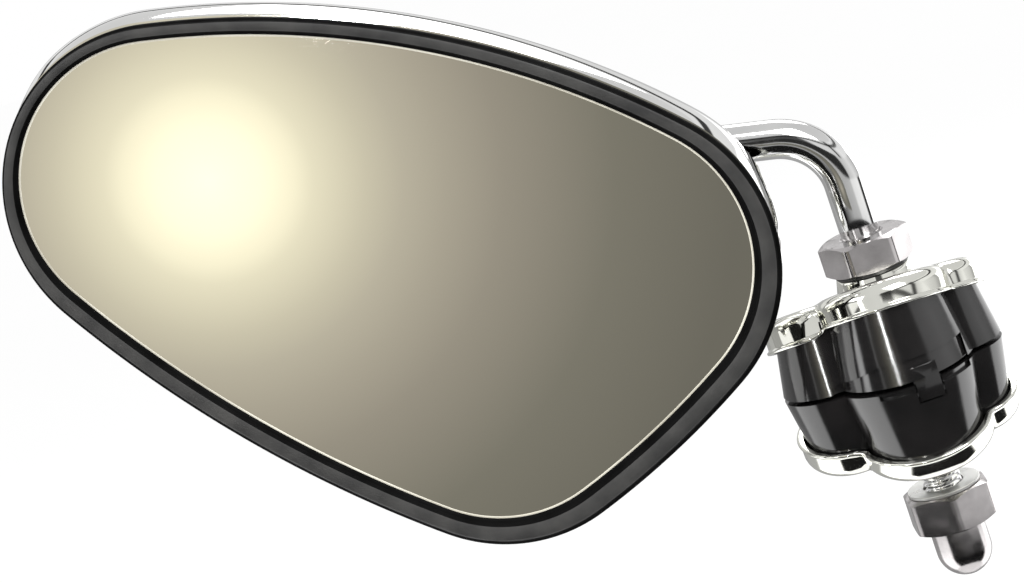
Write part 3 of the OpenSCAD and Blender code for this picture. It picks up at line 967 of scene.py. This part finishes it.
def make_floor():
    mat = principled("floor", roughness=0.8, specular=0.1)
    vary_colour(mat, 3, (0.88, 0.88, 0.88), (0.92, 0.92, 0.92))
    h = FLOOR_HALF
    verts = [(-h, -h, FLOOR_Z), (h, -h, FLOOR_Z), (h, h, FLOOR_Z), (-h, h, FLOOR_Z)]
    floor = new_object("floor", verts, [(0, 1, 2, 3)], mat)
    # seen by the camera as white paper, with the shading left for everything else
    tree = mat.node_tree
    path = tree.nodes.new("ShaderNodeLightPath")
    glow = new_node(tree, "ShaderNodeEmission", {"Color": (1, 1, 1, 1), "Strength": FLOOR_GLOW})
    share = arithmetic(tree, "MULTIPLY", path.outputs["Is Camera Ray"], FLOOR_GLOW_SHARE)
    shaded = tree.nodes["Principled BSDF"].outputs["BSDF"]
    mix = new_node(tree, "ShaderNodeMixShader", {"Fac": share, 1: shaded, 2: glow.outputs["Emission"]})
    tree.links.new(mix.outputs["Shader"], tree.nodes["Material Output"].inputs["Surface"])


def make_world():
    world = bpy.data.worlds.new("world")
    world.use_nodes = True
    bpy.context.scene.world = world
    tree = world.node_tree
    tree.nodes.clear()
    path = tree.nodes.new("ShaderNodeLightPath")
    white = (1, 1, 1, 1)
    light = new_node(tree, "ShaderNodeBackground", {"Color": white, "Strength": WORLD_LIGHT})
    seen = new_node(tree, "ShaderNodeBackground", {"Color": white, "Strength": 1})
    mix = new_node(tree, "ShaderNodeMixShader", {
        "Fac": path.outputs["Is Camera Ray"],
        1: light.outputs["Background"], 2: seen.outputs["Background"],
    })
    new_node(tree, "ShaderNodeOutputWorld", {"Surface": mix.outputs["Shader"]})


def make_lamp(name, place, size, power):
    data = bpy.data.lights.new(name, "AREA")
    data.energy = power
    data.size = size
    lamp = bpy.data.objects.new(name, data)
    bpy.context.scene.collection.objects.link(lamp)
    lamp.location = place
    aim = (Vector(LAMP_TARGET) - Vector(place)).to_track_quat("-Z", "Y")
    lamp.rotation_euler = aim.to_euler()


# What only reflections see

def glossy_only(obj):
    obj.visible_camera = False
    obj.visible_diffuse = False
    obj.visible_shadow = False
    obj.visible_transmission = False


def emission_material(name, strength=1):
    """Glowing material, with its node tree and the socket that takes its colour."""
    mat = bpy.data.materials.new(name)
    mat.use_nodes = True
    tree = mat.node_tree
    tree.nodes.clear()
    glow = new_node(tree, "ShaderNodeEmission", {"Color": (1, 1, 1, 1), "Strength": strength})
    new_node(tree, "ShaderNodeOutputMaterial", {"Surface": glow.outputs["Emission"]})
    return mat, tree, glow.inputs["Color"]


def upright_sheet(name, x_range, y, z_range, material):
    """Flat upright sheet across the view."""
    (x0, x1), (z0, z1) = x_range, z_range
    verts = [(x0, y, z0), (x1, y, z0), (x1, y, z1), (x0, y, z1)]
    glossy_only(new_object(name, verts, [(0, 1, 2, 3)], material))


def bearing_ramp(tree, places, stops):
    """Ramp by the bearing round the stem, in degrees from straight in front, right positive."""
    ahead = arithmetic(tree, "SUBTRACT", STEM_Y, places.outputs["Y"])
    bearing = arithmetic(tree, "ARCTAN2", places.outputs["X"], ahead)
    share = arithmetic(tree, "ADD", arithmetic(tree, "DIVIDE", bearing, 2 * math.pi), 0.5)
    return ramp(tree, share, [(degrees / 360 + 0.5, colour) for degrees, colour in stops])


def mixed(tree, factor, a, b, blend="MIX"):
    """Colour socket of a blended with b."""
    node = tree.nodes.new("ShaderNodeMix")
    node.data_type = "RGBA"
    node.blend_type = blend
    # the sockets of the colour mode: factor, both colours and the result
    return feed(tree, node, {0: factor, 6: a, 7: b}).outputs[2]


def places_of(tree):
    coords = tree.nodes.new("ShaderNodeTexCoord")
    return new_node(tree, "ShaderNodeSeparateXYZ", {0: coords.outputs["Object"]})


# wall that the glass reflects: a warm glow that fades out, in metres, with colours by the
# share of its radius
WALL_Y = -0.75
WALL_X = (-0.62, -0.035)
WALL_Z = (-0.25, 0.16)
GLOW_AT = (-0.290, 0.000)
GLOW_R = 0.255
GLOW_STOPS = (
    (0.0, (1.55, 1.49, 1.15)),
    (0.10, (1.40, 1.34, 1.03)),
    (0.165, (1.18, 1.13, 0.87)),
    (0.20, (1.00, 0.955, 0.74)),
    (0.30, (0.74, 0.70, 0.555)),
    (0.37, (0.60, 0.562, 0.46)),
    (0.45, (0.50, 0.465, 0.385)),
    (0.56, (0.385, 0.358, 0.30)),
    (0.77, (0.245, 0.236, 0.197)),
    (1.0, (0.185, 0.179, 0.153)),
)
# narrow lamp above the glow, which the upper jaw reflects and the glass doesn't
SPARK_X = (-0.215, -0.185)
SPARK_Y = -0.742
SPARK_Z = (0.05, 0.12)
SPARK_STRENGTH = 55


def make_glow_wall():
    mat, tree, colour = emission_material("glow_wall")
    coords = tree.nodes.new("ShaderNodeTexCoord")
    centre = (GLOW_AT[0], WALL_Y, GLOW_AT[1])
    away = new_node(tree, "ShaderNodeVectorMath", {0: coords.outputs["Object"], 1: centre})
    away.operation = "DISTANCE"
    share = arithmetic(tree, "DIVIDE", away.outputs["Value"], GLOW_R)
    tree.links.new(ramp(tree, share, GLOW_STOPS), colour)
    upright_sheet("glow_wall", WALL_X, WALL_Y, WALL_Z, mat)


# surround that the clamp, the rod and the nuts reflect: rows of strips as (degrees, grey)
SURROUND_R = 0.84
SURROUND_LOW = -0.245
SURROUND_TOP = 0.50
FLOOR_STRIPS_IN = 0.12
FLOOR_STRIPS_R = 0.6
LEFT_STRIPS_END = -43
RIGHT_STRIPS_START = -2.5
SURROUND_STEPS = 90
# heights where the rows change, and half the height of the change
MIDDLE_FROM = -0.065
HIGH_FROM = 0.19
ROW_BLEND = 0.012
LOW_STRIPS = (
    (-180, 0.40), (-130, 0.40), (-114, 0.50), (-90, 0.35), (-78, 0.30), (-72, 0.06), (-46, 0.06),
    (-3, 0.50), (35, 0.60), (45, 0.95), (86, 1.05), (93, 0.03), (106, 0.03), (113, 1.9), (180, 1.9),
)
MIDDLE_STRIPS = (
    (-180, 0.5), (-100, 0.45), (-79, 0.45), (-76, 3.6), (-68, 3.6), (-65, 0.03), (-46, 0.03), (-3, 0.03),
    (41, 0.03), (47, 0.65), (80, 0.9), (104, 0.7), (116, 0.4), (121, 2.4), (150, 2.4), (170, 0.6),
)
HIGH_STRIPS = (
    (-180, 0.8), (-80, 0.9), (-75, 0.42), (-67, 0.42), (-63, 0.06), (-59, 1.1), (-44, 1.0), (-3, 1.4),
    (1, 0.08), (17, 0.08), (23, 0.85), (54, 0.8), (58, 0.06), (62, 0.10), (66, 0.75), (78, 1.0),
    (180, 0.8),
)
FLOOR_STRIPS = (
    (-180, 0.4), (-120, 0.5), (-113, 2.2), (-62, 2.2), (-56, 0.012),
    (84, 0.012), (90, 2.2), (146, 2.2), (152, 0.4),
)
# dark line that runs round above the strips, as (height, grey)
DARK_LINE = ((0.0, 1), (0.365, 1), (0.38, 0.06), (0.43, 0.06), (0.445, 1))


def arc_sheet(name, bearings, low, high, material):
    """Curved sheet round the stem, from the (radius, height) low to high."""
    first, last = bearings
    verts, faces = [], []
    for i in range(SURROUND_STEPS + 1):
        t = math.radians(first + (last - first) * i / SURROUND_STEPS)
        for radius, height in (low, high):
            verts.append((radius * math.sin(t), STEM_Y - radius * math.cos(t), height))
        if i:
            k = 2 * i
            faces.append((k - 2, k, k + 1, k - 1))
    glossy_only(new_object(name, verts, faces, material))


def make_surround():
    mat, tree, colour = emission_material("surround")
    places = places_of(tree)
    low = bearing_ramp(tree, places, LOW_STRIPS)
    middle = bearing_ramp(tree, places, MIDDLE_STRIPS)
    high = bearing_ramp(tree, places, HIGH_STRIPS)
    lined = mixed(tree, 1, high, ramp(tree, places.outputs["Z"], DARK_LINE), "MULTIPLY")
    current = low
    for level, upper in ((MIDDLE_FROM, middle), (HIGH_FROM, lined)):
        step = new_node(tree, "ShaderNodeMapRange", {
            "Value": places.outputs["Z"], "From Min": level - ROW_BLEND, "From Max": level + ROW_BLEND,
        })
        current = mixed(tree, step.outputs["Result"], current, upper)
    tree.links.new(current, colour)
    low_edge, high_edge = (SURROUND_R, SURROUND_LOW), (SURROUND_R, SURROUND_TOP)
    arc_sheet("surround_left", (-180, LEFT_STRIPS_END), low_edge, high_edge, mat)
    arc_sheet("surround_right", (RIGHT_STRIPS_START, 180), low_edge, high_edge, mat)
    arc_sheet("surround_floor", (-180, 180), (FLOOR_STRIPS_R, SURROUND_LOW), low_edge, mat)


def make_floor_strips():
    mat, tree, colour = emission_material("floor_strips")
    tree.links.new(bearing_ramp(tree, places_of(tree), FLOOR_STRIPS), colour)
    edges = (FLOOR_STRIPS_IN, SURROUND_LOW), (FLOOR_STRIPS_R, SURROUND_LOW)
    arc_sheet("floor_strips", (-180, 180), *edges, mat)


make_floor()
make_world()
make_glow_wall()
make_surround()
make_floor_strips()
spark_material, _, _ = emission_material("spark_card", SPARK_STRENGTH)
upright_sheet("spark", SPARK_X, SPARK_Y, SPARK_Z, spark_material)
make_lamp("key", (0.5, -0.7, 0.9), 0.6, 9)
make_lamp("fill", (-0.9, -0.6, 0.5), 0.8, 6)
make_lamp("back", (0.2, 0.9, 0.7), 0.7, 6)

bpy.context.scene.view_settings.view_transform = "Standard"
